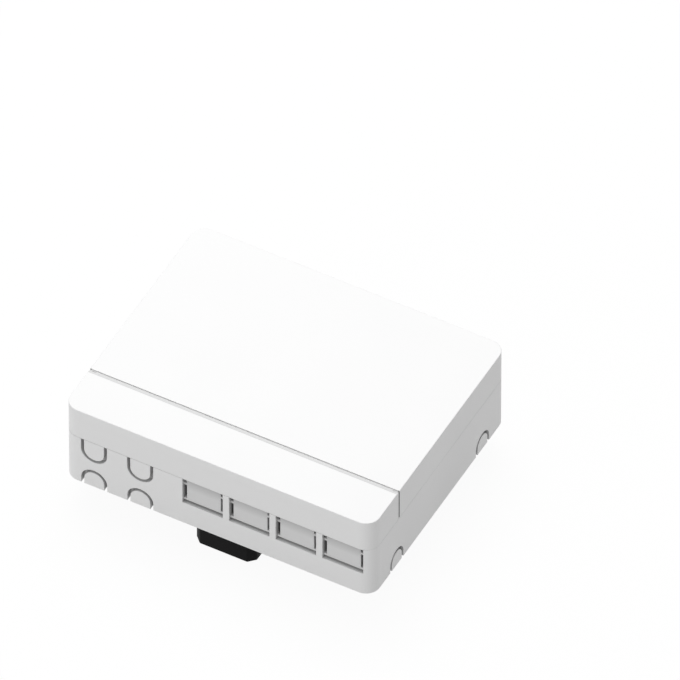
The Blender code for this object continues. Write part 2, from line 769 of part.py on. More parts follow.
def make_adapter(number, x):
    """A through adapter: a collared body with a bore at each end and a tube for its sleeve."""
    half = adapter_width / 2
    middle_y = adapter_front + adapter_length / 2
    middle_z = adapter_bottom + adapter_height / 2
    body = ((x - half, adapter_front, adapter_bottom),
            (x + half, adapter_front + adapter_length, adapter_bottom + adapter_height))
    adapter = blocks(f"sc_adapter_{number}", [body], box_parts)
    collar_front = adapter_front + adapter_collar_to_front
    collar = ((x - adapter_collar_width / 2, collar_front, adapter_bottom + weld_depth),
              (x + adapter_collar_width / 2, collar_front + adapter_collar_length,
               adapter_bottom + adapter_height - weld_depth))
    join(adapter, blocks(f"collar_{number}", [collar]))
    bores = []
    keys = []
    for hand in (-1, 1):
        mouth = middle_y + hand * (adapter_length / 2 + overshoot)
        bottom = middle_y + hand * (adapter_length / 2 - adapter_bore_depth)
        key_end = middle_y + hand * (adapter_length / 2 - adapter_key_length)
        low_y, high_y = sorted((mouth, bottom))
        bores.append(((x - adapter_bore_width / 2, low_y, middle_z - adapter_bore_height / 2),
                      (x + adapter_bore_width / 2, high_y, middle_z + adapter_bore_height / 2)))
        low_y, high_y = sorted((mouth, key_end))
        keys.append(((x - adapter_key_width / 2, low_y, middle_z),
                     (x + adapter_key_width / 2, high_y, adapter_bottom + adapter_height + overshoot)))
    cut(adapter, blocks(f"adapter_bores_{number}", bores))
    cut(adapter, blocks(f"adapter_keyways_{number}", keys))
    bore = sleeve_radius + fit_gap
    for label, radius, length, action in (("tube", bore + sleeve_tube_wall, sleeve_tube_length, join),
                                          ("tube_bore", bore, sleeve_tube_length + overshoot, cut)):
        action(adapter, outline_solid(f"{label}_{number}", [circle((x, middle_z), radius)],
                                      middle_y - length / 2, middle_y + length / 2, "Y"))
    finish_part(adapter, green)


def make_sleeve(number, x):
    """The split ceramic sleeve that lines up the two plugs' ferrules."""
    middle_y = adapter_front + adapter_length / 2
    middle_z = adapter_bottom + adapter_height / 2
    half_slit = sleeve_slit / 2
    slit_out = 90 - degrees(atan2(half_slit, sleeve_radius))
    slit_in = 90 - degrees(atan2(half_slit, sleeve_bore_radius))
    section = (arc((x, middle_z), sleeve_radius, slit_out, slit_out - 360 + 2 * (90 - slit_out), 24)
               + arc((x, middle_z), sleeve_bore_radius, slit_in - 360 + 2 * (90 - slit_in), slit_in, 24))
    sleeve = outline_solid(f"alignment_sleeve_{number}", [section], middle_y - sleeve_length / 2,
                           middle_y + sleeve_length / 2, "Y", box_parts)
    finish_part(sleeve, ceramic)


def make_plug(number, x):
    """The dust plug in an adapter's inner end."""
    mouth = adapter_front + adapter_length
    middle_z = adapter_bottom + adapter_height / 2
    half_x = adapter_bore_width / 2 - fit_gap
    half_z = adapter_bore_height / 2 - fit_gap
    plug = blocks(f"dust_plug_{number}", [((x - half_x, mouth - plug_depth, middle_z - half_z),
                                           (x + half_x, mouth + fit_gap + weld_depth, middle_z + half_z))],
                  box_parts)
    face = mouth + fit_gap
    margin_x, margin_z = half_x + plug_flange_margin, half_z + plug_flange_margin
    flange = ((x - margin_x, face, middle_z - margin_z),
              (x + margin_x, face + plug_flange_thickness, middle_z + margin_z))
    join(plug, blocks(f"plug_flange_{number}", [flange]))
    grip = face + plug_flange_thickness
    join(plug, blocks(f"plug_grip_{number}", [((x - plug_grip_width / 2, grip - weld_depth,
                                                middle_z - plug_grip_height / 2),
                                               (x + plug_grip_width / 2, grip + plug_grip_length,
                                                middle_z + plug_grip_height / 2))]))
    finish_part(plug, grey)


def make_cable_clamp():
    """The bar that presses two cables on their saddles."""
    y = front + clamp_to_front
    bottom = floor_top + clamp_boss_height + fit_gap
    half_length, half_width = clamp_length / 2, clamp_width / 2
    ends = [(clamp_centre + x_hand * half_length, y + y_hand * half_width, half_width - fit_gap)
            for x_hand, y_hand in ((-1, -1), (1, -1), (1, 1), (-1, 1))]
    clamp = outline_solid("cable_clamp", [rounded(ends)], bottom, bottom + clamp_thickness, "Z", box_parts)
    arches = [circle((x, floor_top + clamp_cable_rise), clamp_cable_radius) for x in entry_centres]
    cut(clamp, outline_solid("clamp_arches", arches, y - clamp_width, y + clamp_width, "Y"))
    cut(clamp, cylinders("clamp_holes", clamp_screw_places(), clamp_screw_radius + fit_gap,
                         bottom - overshoot, bottom + clamp_thickness + overshoot, small_round_sides))
    finish_part(clamp, white)


def screw_profile(radius, tip, under_head, head_radius, head_top):
    """A pan-head screw standing head up, from its head's crown down to its tip."""
    dome = (head_top - under_head) * screw_dome_share
    crown = [(head_radius - dome + dome * sin(radians(angle)), head_top - dome + dome * cos(radians(angle)))
             for angle in (0, 22.5, 45, 67.5, 90)]
    lead = radius / 2
    return ([(0, head_top)] + crown + [(head_radius, under_head), (radius, under_head),
            (radius, tip + lead), (radius - lead, tip), (0, tip)])


def cut_cross_recess(screw, name, centre, length, low, high):
    """Cut the crossed slots of a screw's drive into its head."""
    x, y = centre
    for label, half_x, half_y in (("across", length / 2, recess_width / 2),
                                  ("along", recess_width / 2, length / 2)):
        cut(screw, blocks(f"{name}_{label}", [((x - half_x, y - half_y, low),
                                               (x + half_x, y + half_y, high))]))


def make_clamp_screws():
    """Self-tapping screws through the clamp bar into the bosses."""
    under_head = floor_top + clamp_boss_height + clamp_thickness + 2 * fit_gap
    head_top = under_head + clamp_screw_head_height
    for name, place in zip(("clamp_screw_left", "clamp_screw_right"), clamp_screw_places()):
        profile = screw_profile(clamp_screw_radius, under_head - clamp_screw_length, under_head,
                                clamp_screw_head_radius, head_top)
        screw = turned(name, profile, place, small_round_sides, box_parts)
        cut_cross_recess(screw, name, place, 2 * (clamp_screw_head_radius - recess_to_rim),
                         head_top - clamp_recess_depth, head_top + overshoot)
        finish_part(screw, zinc)


def make_splice_holder():
    """A comb that grips the splice protectors, on a plate that drops over two pegs."""
    y = back - holder_to_back
    bottom = floor_top + fit_gap
    top = bottom + holder_plate_thickness
    pitch = holder_channel_width + holder_finger_width
    half_depth = (holder_channels * pitch + holder_finger_width) / 2
    corners = [(x_hand * holder_length / 2, y + y_hand * half_depth, holder_plate_thickness)
               for x_hand, y_hand in ((-1, -1), (1, -1), (1, 1), (-1, 1))]
    holder = outline_solid("splice_holder", [rounded(corners)], bottom, top, "Z", box_parts)
    crown = top + holder_finger_height
    neck = crown - holder_bulb_height
    fingers = []
    for index in range(holder_channels + 1):
        middle = y - half_depth + holder_finger_width / 2 + index * pitch
        stem, bulb = holder_stem_width / 2, holder_bulb_width / 2
        fingers.append([(middle - stem, top - weld_depth), (middle + stem, top - weld_depth),
                        (middle + stem, neck), (middle + bulb, neck + holder_bulb_height / 2),
                        (middle + stem, crown), (middle - stem, crown),
                        (middle - bulb, neck + holder_bulb_height / 2), (middle - stem, neck)])
    step = (holder_length - holder_finger_length) / (holder_finger_rows - 1)
    for row in range(holder_finger_rows):
        start = -holder_length / 2 + row * step
        trim = weld_depth if row == 0 else -weld_depth if row == holder_finger_rows - 1 else 0
        join(holder, outline_solid(f"holder_fingers_{row + 1}", fingers, start + trim,
                                   start + holder_finger_length + trim, "X"))
    cut(holder, cylinders("holder_peg_holes", peg_places(), peg_radius + fit_gap, bottom - overshoot,
                          top + overshoot, small_round_sides))
    finish_part(holder, white)


def add_snap_posts(bracket):
    """Split posts that snap through the case's floor: one prong barbed, the other a T."""
    under_head = floor_top + fit_gap
    tip = under_head + post_head_height
    profile = [(0, tip), (post_tip_radius, tip), (post_head_radius, under_head + fit_gap),
               (post_head_radius, under_head), (post_radius, under_head),
               (post_radius, plate_top - weld_depth), (0, plate_top - weld_depth)]
    for hand, name in ((-1, "left_post"), (1, "right_post")):
        x = hand * post_spacing / 2
        post = turned(name, profile, (x, 0))
        reach = post_head_radius + overshoot
        half_slit, half_stem = post_slit / 2, post_stem_width / 2
        low, high = plate_top + fit_gap, tip + overshoot
        cut(post, blocks(name + "_slit", [((x - half_slit, -reach, low), (x + half_slit, reach, high))]))
        cap_edge = hand * (half_slit + post_cap_thickness)
        far = hand * reach
        low_x, high_x = sorted((x + cap_edge, x + far))
        cut(post, blocks(name + "_flanks", [((low_x, half_stem, low), (high_x, reach, high)),
                                            ((low_x, -reach, low), (high_x, -half_stem, high))]))
        join(bracket, post)


def make_bracket():
    """The cross plate that carries the case, and that the feet are screwed to."""
    arm, wing = arm_length / 2, wing_span / 2
    half_arm, half_wing = arm_width / 2, wing_width / 2
    front_half = [(-arm, -half_arm, arm_corner_radius), (-half_wing, -half_arm, wing_fillet),
                  (-half_wing, -wing, 0), (half_wing, -wing, 0),
                  (half_wing, -half_arm, wing_fillet), (arm, -half_arm, arm_corner_radius)]
    corners = front_half + [(-x, -y, radius) for x, y, radius in front_half]
    bracket = outline_solid("bracket", [rounded(corners)], plate_underside, plate_top, "Z", box_parts)
    additions = []
    for hand in (-1, 1):
        low_y, high_y = sorted((hand * wing, hand * (wing - lip_thickness)))
        additions.append(((-half_wing, low_y, plate_top - weld_depth),
                          (half_wing, high_y, plate_top + lip_rise)))
        rib = hand * rib_spacing / 2
        additions.append(((-rib_length / 2, rib - rib_width / 2, plate_top - weld_depth),
                          (rib_length / 2, rib + rib_width / 2, plate_top + rib_height)))
    join(bracket, blocks("lips_and_ribs", additions))
    nuts = [(0, hand * foot_screw_offset) for hand in (-1, 1)]
    boss_top = plate_top + boss_height
    join(bracket, cylinders("nut_bosses", nuts, boss_radius, plate_top - weld_depth, boss_top))
    pocket_radius = (nut_across_flats / 2 + fit_gap) / cos(pi / 6)
    cut(bracket, cylinders("nut_pockets", nuts, pocket_radius, boss_top - nut_height - fit_gap,
                           boss_top + overshoot, sides=6))
    cut(bracket, cylinders("foot_screw_holes", nuts, screw_radius + fit_gap,
                           plate_underside - overshoot, boss_top, small_round_sides))
    drips = [(hand * post_spacing / 2, offset * drip_hole_offset) for hand in (-1, 1) for offset in (-1, 1)]
    cut(bracket, cylinders("drip_holes", drips, drip_hole_radius, plate_underside - overshoot,
                           plate_top + overshoot, small_round_sides))
    inner = rail_width / 2 - jaw_reach - fit_gap
    seats = []
    for hand in (-1, 1):
        low_y, high_y = sorted((hand * inner, hand * (wing + overshoot)))
        seats.append(((-half_wing - overshoot, low_y, plate_underside - overshoot),
                      (half_wing + overshoot, high_y, wing_underside)))
    cut(bracket, blocks("foot_seats", seats))
    add_snap_posts(bracket)
    finish_part(bracket, white)


def make_foot(name, hand, outer_end):
    """A flexible foot: a jaw that hooks under the rail's flange, and a block under the wing."""
    jaw_tip = rail_width / 2 - jaw_reach
    flange_edge = rail_width / 2 + fit_gap
    ledge = plate_underside - jaw_slot_height
    jaw = [(jaw_tip + jaw_lead_in, 0), (jaw_tip, jaw_lead_in), (jaw_tip, ledge), (flange_edge, ledge)]
    block = [(flange_edge, foot_height), (outer_end, foot_height), (outer_end, 0)]
    profile = [(hand * y, z) for y, z in jaw + block]
    foot = outline_solid(name, [profile], -foot_width / 2, foot_width / 2, "X", box_parts)
    bm = bmesh.new()
    bm.from_mesh(foot.data)
    outer = [edge for edge in bm.edges
             if all(abs(vert.co.y - hand * outer_end) < same_point for vert in edge.verts)
             and abs(edge.verts[0].co.z - edge.verts[1].co.z) > foot_height / 2]
    bmesh.ops.bevel(bm, geom=outer, offset=foot_corner_chamfer, segments=1, affect="EDGES")
    bm.to_mesh(foot.data)
    bm.free()
    place = [(0, hand * foot_screw_offset)]
    cut(foot, cylinders(name + "_counterbore", place, screw_head_radius + fit_gap, -overshoot,
                        screw_head_recess + screw_head_height + fit_gap))
    cut(foot, cylinders(name + "_hole", place, screw_radius + fit_gap, 0, foot_height + overshoot,
                        small_round_sides))
    finish_part(foot, black)


def make_foot_screw(name, hand):
    """A pan-head screw driven up from under the foot, into its nut."""
    centre = (0, hand * foot_screw_offset)
    head_bottom = screw_head_recess
    under_head = head_bottom + screw_head_height
    tip = plate_top + boss_height + screw_past_nut
    upright = screw_profile(screw_radius, -tip, -under_head, screw_head_radius, -head_bottom)
    profile = [(radius, -height) for radius, height in reversed(upright)]
    screw = turned(name, profile, centre, small_round_sides, box_parts)
    cut_cross_recess(screw, name, centre, 2 * (screw_head_radius - recess_to_rim),
                     head_bottom - overshoot, head_bottom + recess_depth)
    finish_part(screw, zinc)


def make_foot_nut(name, hand):
    """The hexagon nut in its pocket on the bracket."""
    centre = (0, hand * foot_screw_offset)
    top = plate_top + boss_height
    bottom = top - nut_height
    nut = cylinders(name, [centre], nut_across_flats / 2 / cos(pi / 6), bottom, top, 6, box_parts)
    cut(nut, cylinders(name + "_bore", [centre], screw_radius + nut_bore_slack, bottom - overshoot,
                       top + overshoot, small_round_sides))
    finish_part(nut, zinc)


make_base()
make_front_cap()
make_lid()
for port_number, port_x in enumerate(port_centres, start=1):
    make_seal(port_number, port_x)
    make_adapter(port_number, port_x)
    make_sleeve(port_number, port_x)
    make_plug(port_number, port_x)
make_cable_clamp()
make_clamp_screws()
make_splice_holder()
make_bracket()
make_foot("din_foot_front", -1, wing_span / 2)
make_foot("din_foot_back", 1, wing_span / 2 - rear_foot_setback)
for end_name, end_hand in (("front", -1), ("back", 1)):
    make_foot_screw("foot_screw_" + end_name, end_hand)
    make_foot_nut("foot_nut_" + end_name, end_hand)
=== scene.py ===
import bmesh
import bpy
from math import cos, pi, radians, sin
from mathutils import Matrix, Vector


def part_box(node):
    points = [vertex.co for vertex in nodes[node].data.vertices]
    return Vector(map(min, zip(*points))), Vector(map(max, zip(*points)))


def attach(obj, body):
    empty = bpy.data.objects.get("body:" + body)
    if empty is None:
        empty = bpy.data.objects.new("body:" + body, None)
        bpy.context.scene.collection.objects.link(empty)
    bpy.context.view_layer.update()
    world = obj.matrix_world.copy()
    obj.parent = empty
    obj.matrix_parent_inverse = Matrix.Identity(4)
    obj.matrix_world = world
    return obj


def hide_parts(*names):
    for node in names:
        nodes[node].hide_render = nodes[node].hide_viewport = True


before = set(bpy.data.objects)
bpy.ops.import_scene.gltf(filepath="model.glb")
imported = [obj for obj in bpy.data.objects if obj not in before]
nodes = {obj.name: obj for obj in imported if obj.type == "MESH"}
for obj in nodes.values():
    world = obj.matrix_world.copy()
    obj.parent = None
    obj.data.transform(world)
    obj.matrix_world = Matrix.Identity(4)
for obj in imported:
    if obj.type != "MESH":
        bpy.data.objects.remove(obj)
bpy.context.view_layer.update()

# The camera.
# A long lens in front and to the right of the box, looking down on its ports, its front cap and
# its lid, far enough away that parallel edges stay parallel.
sighted_point = Vector((0.00709, 0.01942, 0.03916))
round_to_the_right = radians(28.5)
above_the_floor = radians(46.8)
camera_distance = 8.559
sight_line = Vector((sin(round_to_the_right) * cos(above_the_floor),
                     -cos(round_to_the_right) * cos(above_the_floor),
                     sin(above_the_floor)))
bpy.ops.object.camera_add(location=sighted_point + camera_distance * sight_line,
                          rotation=(radians(90) - above_the_floor, 0, round_to_the_right))
camera = bpy.context.object
camera.name = "long_lens"
camera.data.lens = 1600
camera.data.sensor_width = 36
camera.data.clip_start = 0.05
camera.data.clip_end = 60
bpy.context.scene.camera = camera
bpy.context.scene.view_settings.view_transform = "Standard"

# The floor.
# A pale floor that the feet stand on, painted on its top side only. It looks plain white with a
# faint shadow, and the light that it throws back up under the box is a real table's softer grey.
floor_width = 60
bounced_grey = (0.52, 0.52, 0.52, 1)
shadow_share = 0.06
bpy.ops.mesh.primitive_plane_add(size=floor_width, location=(0, 0, 0))
floor = bpy.context.object
floor.name = "studio_floor"
floor_paint = bpy.data.materials.new("pale_floor_paint")
floor_paint.use_nodes = True
paint = floor_paint.node_tree
matt = paint.nodes["Principled BSDF"]
matt.inputs["Roughness"].default_value = 1.0
matt.inputs["Specular IOR Level"].default_value = 0.0
matt.inputs["Base Color"].default_value = bounced_grey
glow = paint.nodes.new("ShaderNodeEmission")
glow.inputs["Color"].default_value = (1, 1, 1, 1)
glow.inputs["Strength"].default_value = 1.0
bright = paint.nodes.new("ShaderNodeBsdfDiffuse")
bright.inputs["Color"].default_value = (1, 1, 1, 1)
seen_white = paint.nodes.new("ShaderNodeMixShader")
seen_white.inputs[0].default_value = shadow_share
paint.links.new(glow.outputs[0], seen_white.inputs[1])
paint.links.new(bright.outputs[0], seen_white.inputs[2])
ray = paint.nodes.new("ShaderNodeLightPath")
direct_or_mirrored = paint.nodes.new("ShaderNodeMath")
direct_or_mirrored.operation = "MAXIMUM"
paint.links.new(ray.outputs["Is Camera Ray"], direct_or_mirrored.inputs[0])
paint.links.new(ray.outputs["Is Glossy Ray"], direct_or_mirrored.inputs[1])
any_sight = paint.nodes.new("ShaderNodeMath")
any_sight.operation = "MAXIMUM"
paint.links.new(direct_or_mirrored.outputs[0], any_sight.inputs[0])
paint.links.new(ray.outputs["Is Transmission Ray"], any_sight.inputs[1])
top_side = paint.nodes.new("ShaderNodeMixShader")
paint.links.new(any_sight.outputs[0], top_side.inputs[0])
paint.links.new(matt.outputs[0], top_side.inputs[1])
paint.links.new(seen_white.outputs[0], top_side.inputs[2])
side_seen = paint.nodes.new("ShaderNodeNewGeometry")
clear = paint.nodes.new("ShaderNodeBsdfTransparent")
one_sided = paint.nodes.new("ShaderNodeMixShader")
paint.links.new(side_seen.outputs["Backfacing"], one_sided.inputs[0])
paint.links.new(top_side.outputs[0], one_sided.inputs[1])
paint.links.new(clear.outputs[0], one_sided.inputs[2])
paint.links.new(one_sided.outputs[0], paint.nodes["Material Output"].inputs["Surface"])
floor.data.materials.append(floor_paint)

# The light.
# An even white sky, a broad softbox nearly overhead and a little behind, and a low, weaker one in
# front on the left, which lifts the port side without lighting the sills.
sky = bpy.data.worlds.new("white_room")
bpy.context.scene.world = sky
sky.use_nodes = True
air = sky.node_tree
air.nodes.clear()
room_light = air.nodes.new("ShaderNodeBackground")
room_light.inputs["Color"].default_value = (1, 1, 1, 1)
room_light.inputs["Strength"].default_value = 0.5
white_wall = air.nodes.new("ShaderNodeBackground")
white_wall.inputs["Color"].default_value = (1, 1, 1, 1)
white_wall.inputs["Strength"].default_value = 1.0
sky_ray = air.nodes.new("ShaderNodeLightPath")
choose = air.nodes.new("ShaderNodeMixShader")
sky_out = air.nodes.new("ShaderNodeOutputWorld")
air.links.new(sky_ray.outputs["Is Camera Ray"], choose.inputs[0])
air.links.new(room_light.outputs[0], choose.inputs[1])
air.links.new(white_wall.outputs[0], choose.inputs[2])
air.links.new(choose.outputs[0], sky_out.inputs["Surface"])

box_middle = Vector((0, 0, 0.03))
for lamp_name, lamp_place, lamp_size, lamp_power in (
        ("overhead_softbox", (-0.30, 0.40, 1.15), 0.9, 8.8),
        ("front_fill", (-0.38, -1.12, 0.35), 0.8, 3.15)):
    bpy.ops.object.light_add(type="AREA", location=lamp_place)
    lamp = bpy.context.object
    lamp.name = lamp_name
    lamp.data.shape = "SQUARE"
    lamp.data.size = lamp_size
    lamp.data.energy = lamp_power
    towards_box = box_middle - lamp.location
    lamp.rotation_euler = towards_box.to_track_quat("-Z", "Y").to_euler()

# The bracket that the box snaps on.
# Injection moulded, like the whole case, in one satin white ABS. The tool is spark eroded, which
# leaves a fine even grain. The pigment is darkened with painted shade in the scores, slits and
# creases.
white = (0.93, 0.93, 0.93)
deeper_white = (0.91, 0.91, 0.91)
satin = 0.42
spark_grain = 0.0004
spark_depth = 0.000006
moulded_edge = 0.00015
crease_reach = 0.0020
crease_shade = 0.62


def moulded_plastic(name, colour, deeper, roughness, grain_size, grain_depth, edge_radius):
    """Moulded plastic: the tool's grain, cloudy gloss, a drift in the pigment and soft edges."""
    clouds_per_metre = 38
    gloss_swing = 0.05
    plastic = bpy.data.materials.new(name)
    plastic.use_nodes = True
    tree = plastic.node_tree
    shader = tree.nodes["Principled BSDF"]
    place = tree.nodes.new("ShaderNodeTexCoord")
    cloud = tree.nodes.new("ShaderNodeTexNoise")
    cloud.inputs["Scale"].default_value = clouds_per_metre
    cloud.inputs["Detail"].default_value = 3
    tree.links.new(place.outputs["Object"], cloud.inputs["Vector"])
    pigment = tree.nodes.new("ShaderNodeMix")
    pigment.data_type = "RGBA"
    pigment.inputs["A"].default_value = (*deeper, 1)
    pigment.inputs["B"].default_value = (*colour, 1)
    tree.links.new(cloud.outputs["Fac"], pigment.inputs["Factor"])
    tree.links.new(pigment.outputs["Result"], shader.inputs["Base Color"])
    gloss = tree.nodes.new("ShaderNodeMapRange")
    gloss.inputs["From Min"].default_value = 0.3
    gloss.inputs["From Max"].default_value = 0.7
    gloss.inputs["To Min"].default_value = roughness - gloss_swing
    gloss.inputs["To Max"].default_value = roughness + gloss_swing
    tree.links.new(cloud.outputs["Fac"], gloss.inputs["Value"])
    tree.links.new(gloss.outputs["Result"], shader.inputs["Roughness"])
    grain = tree.nodes.new("ShaderNodeTexNoise")
    grain.inputs["Scale"].default_value = 1 / grain_size
    grain.inputs["Detail"].default_value = 2
    tree.links.new(place.outputs["Object"], grain.inputs["Vector"])
    soft_edge = tree.nodes.new("ShaderNodeBevel")
    soft_edge.samples = 6
    soft_edge.inputs["Radius"].default_value = edge_radius
    relief = tree.nodes.new("ShaderNodeBump")
    relief.inputs["Strength"].default_value = 1.0
    relief.inputs["Distance"].default_value = grain_depth
    tree.links.new(grain.outputs["Fac"], relief.inputs["Height"])
    tree.links.new(soft_edge.outputs["Normal"], relief.inputs["Normal"])
    tree.links.new(relief.outputs["Normal"], shader.inputs["Normal"])
    return plastic


def multiply_pigment(plastic, shade):
    """Multiply a plastic's pigment by a shade that comes out of a socket in its own nodes."""
    tree = plastic.node_tree
    shader = tree.nodes["Principled BSDF"]
    pigment = shader.inputs["Base Color"].links[0].from_socket
    tint = tree.nodes.new("ShaderNodeMix")
    tint.data_type = "RGBA"
    tint.blend_type = "MULTIPLY"
    tint.inputs["Factor"].default_value = 1.0
    tree.links.new(pigment, tint.inputs["A"])
    tree.links.new(shade, tint.inputs["B"])
    tree.links.new(tint.outputs["Result"], shader.inputs["Base Color"])


def shade_creases(plastic, reach, deepest):
    """Paint shade into a plastic's pigment in creases narrower than reach, down to the deepest
    shade.
    """
    tree = plastic.node_tree
    openness = tree.nodes.new("ShaderNodeAmbientOcclusion")
    openness.samples = 8
    openness.inputs["Distance"].default_value = reach
    shade = tree.nodes.new("ShaderNodeMapRange")
    shade.inputs["From Min"].default_value = 0.1
    shade.inputs["From Max"].default_value = 0.9
    shade.inputs["To Min"].default_value = deepest
    shade.inputs["To Max"].default_value = 1.0
    tree.links.new(openness.outputs["AO"], shade.inputs["Value"])
    multiply_pigment(plastic, shade.outputs["Result"])


def dress(names, finish):
    """Give CAD nodes their finish."""
    for name in names:
        nodes[name].data.materials.clear()
        nodes[name].data.materials.append(finish)


white_abs = moulded_plastic("white_abs", white, deeper_white, satin, spark_grain, spark_depth,
                            moulded_edge)
shade_creases(white_abs, crease_reach, crease_shade)
dress(("bracket",), white_abs)

# The front cap, with the ledge in front of its seam.
# The same white ABS, snapped to the base by two tongues. The ledge's pigment is darkened as
# painted shade, for the shade in the shallow step in front of the seam, so it looks greyer than
# the top.
ledge_width = 0.0012
ledge_drop = 0.0003
ledge_painted_shade = 0.80
ledge_margin = 0.0001
face_margin = 0.00005
cap_low, cap_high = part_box("front_cap")


def axes_of(plastic):
    """The coordinates of a point on a plastic's piece, as the sockets X, Y and Z."""
    tree = plastic.node_tree
    place = tree.nodes.new("ShaderNodeTexCoord")
    axes = tree.nodes.new("ShaderNodeSeparateXYZ")
    tree.links.new(place.outputs["Object"], axes.inputs[0])
    return axes.outputs


def reckon(plastic, operation, first, *others):
    """A sum or test in a plastic's nodes. A test gives 1 where it holds and 0 elsewhere."""
    tree = plastic.node_tree
    result = tree.nodes.new("ShaderNodeMath")
    result.operation = operation
    for number, value in enumerate((first, *others)):
        if isinstance(value, bpy.types.NodeSocket):
            tree.links.new(value, result.inputs[number])
        else:
            result.inputs[number].default_value = value
    return result.outputs[0]


def shade_where(plastic, first_test, second_test, shade=1.0):
    """Multiply a plastic's pigment by a shade where two tests hold; returns the shade's node."""
    tree = plastic.node_tree
    both = reckon(plastic, "MULTIPLY", first_test, second_test)
    shaded = tree.nodes.new("ShaderNodeMapRange")
    shaded.inputs["To Min"].default_value = 1.0
    shaded.inputs["To Max"].default_value = shade
    tree.links.new(both, shaded.inputs["Value"])
    multiply_pigment(plastic, shaded.outputs["Result"])
    return shaded


cap_abs = white_abs.copy()
cap_abs.name = "white_abs_with_painted_ledge_shade"
cap_axes = axes_of(cap_abs)
at_level = reckon(cap_abs, "COMPARE", cap_axes["Z"], cap_high[2] - ledge_drop, face_margin)
at_seam = reckon(cap_abs, "GREATER_THAN", cap_axes["Y"], cap_high[1] - ledge_width - ledge_margin)
# Painted shade on the ledge's floor, multiplied into the pigment.
shade_where(cap_abs, at_level, at_seam, ledge_painted_shade)
dress(("front_cap",), cap_abs)

# The lid, with the edges that meet the cap's side walls.
# The same white ABS, hung by two hooks in slots in the base's back wall. A strip of painted shade
# on the front face of each short edge stands for the shade in the seam's gap, a dark hairline
# down each side.
joint_painted_shade = 0.30
joint_depth = 0.0005
lid_low, lid_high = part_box("lid")

lid_abs = white_abs.copy()
lid_abs.name = "white_abs_with_painted_joint_shade"
lid_axes = axes_of(lid_abs)
at_joint = reckon(lid_abs, "COMPARE", lid_axes["Y"], lid_low[1], face_margin)
from_middle = reckon(lid_abs, "ABSOLUTE", lid_axes["X"])
near_side = reckon(lid_abs, "GREATER_THAN", from_middle, lid_high[0] - joint_depth)
# Painted shade on the strip at each end of the lid's front edge.
shade_where(lid_abs, at_joint, near_side, joint_painted_shade)
dress(("lid",), lid_abs)

# The base, with its four break-out panels.
# The same white ABS, moulded in one with its panels, which are much thinner than the wall round
# them, to snap out. The panels' pigment is darkened as painted shade, with a painted shadow under
# the cap's edge that fades downwards.
panel_recess = 0.0008
panel_margin = 0.0001
panel_painted_shade = 0.84
panel_top_painted_shadow = 0.64
painted_shadow_height = 0.0045
base_crease_shade = 0.52
base_low, base_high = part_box("base")
ports_left, ports_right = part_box("sc_adapter_1")[0][0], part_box("sc_adapter_4")[1][0]

base_abs = moulded_plastic("white_abs_with_painted_panel_shade", white, deeper_white, satin, spark_grain,
                           spark_depth, moulded_edge)
# Painted shade in the base's scores, slits and creases.
shade_creases(base_abs, crease_reach, base_crease_shade)
base_axes = axes_of(base_abs)
on_panel = reckon(base_abs, "COMPARE", base_axes["Y"], base_low[1] + panel_recess, panel_margin)
among_ports = reckon(base_abs, "COMPARE", base_axes["X"], (ports_left + ports_right) / 2,
                     (ports_right - ports_left) / 2)
# Painted shade on the panels, with a painted shadow fading down from under the cap.
painted_shadow_under_cap = base_abs.node_tree.nodes.new("ShaderNodeMapRange")
painted_shadow_under_cap.inputs["From Min"].default_value = base_high[2] - painted_shadow_height
painted_shadow_under_cap.inputs["From Max"].default_value = base_high[2]
painted_shadow_under_cap.inputs["To Min"].default_value = panel_painted_shade
painted_shadow_under_cap.inputs["To Max"].default_value = panel_painted_shade * panel_top_painted_shadow
base_abs.node_tree.links.new(base_axes["Z"], painted_shadow_under_cap.inputs["Value"])
painted_panel_shade = shade_where(base_abs, on_panel, among_ports)
base_abs.node_tree.links.new(painted_shadow_under_cap.outputs["Result"], painted_panel_shade.inputs["To Max"])
dress(("base",), base_abs)

# Marks that the mould leaves inside.
# Round ejector pins push each white moulding out of its tool and leave a shallow dished disc on
# its hidden side, and the plastic that filled the lid leaves a nipped-off stub in its middle.
pin_radius = 0.0018
pin_rise = 0.00008
pin_rim = 0.12 * pin_radius
pin_dish = 0.00006
lid_thickness = 0.002
holder_clearance = 0.0003
floor_thickness = 0.0014
lid_underside = lid_high[2] - lid_thickness
floor_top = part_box("splice_holder")[0][2] - holder_clearance
floor_underside = floor_top - floor_thickness
plate_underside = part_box("bracket")[0][2]
lid_pins = [(x, y) for x in (-0.038, 0.0, 0.038) for y in (-0.012, 0.029)]
floor_pins = [(0.0, 0.001), (-0.021, -0.004), (0.0, 0.032)]
skirt_pins = [(x, y) for x in (-0.040, -0.022, 0.022, 0.040) for y in (-0.026, 0.026)]
bracket_pins = [(x, 0.0) for x in (-0.022, 0.022, -0.0445, 0.0445)]
smooth_below = radians(40)


def deselect_everything():
    """Leave nothing selected."""
    bpy.ops.object.select_all(action="DESELECT")


def settle(piece, name, finish, body):
    """Name a finished piece, put its place in its mesh, dress it, and ride it on its body."""
    piece.name = name
    deselect_everything()
    piece.select_set(True)
    bpy.context.view_layer.objects.active = piece
    bpy.ops.object.transform_apply(location=True, rotation=True, scale=True)
    bpy.ops.object.shade_smooth_by_angle(angle=smooth_below)
    piece.data.materials.clear()
    piece.data.materials.append(finish)
    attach(piece, body)


def join_pieces(pieces):
    """Join pieces into the first of them."""
    deselect_everything()
    for piece in pieces:
        piece.select_set(True)
    bpy.context.view_layer.objects.active = pieces[0]
    bpy.ops.object.join()
    return pieces[0]


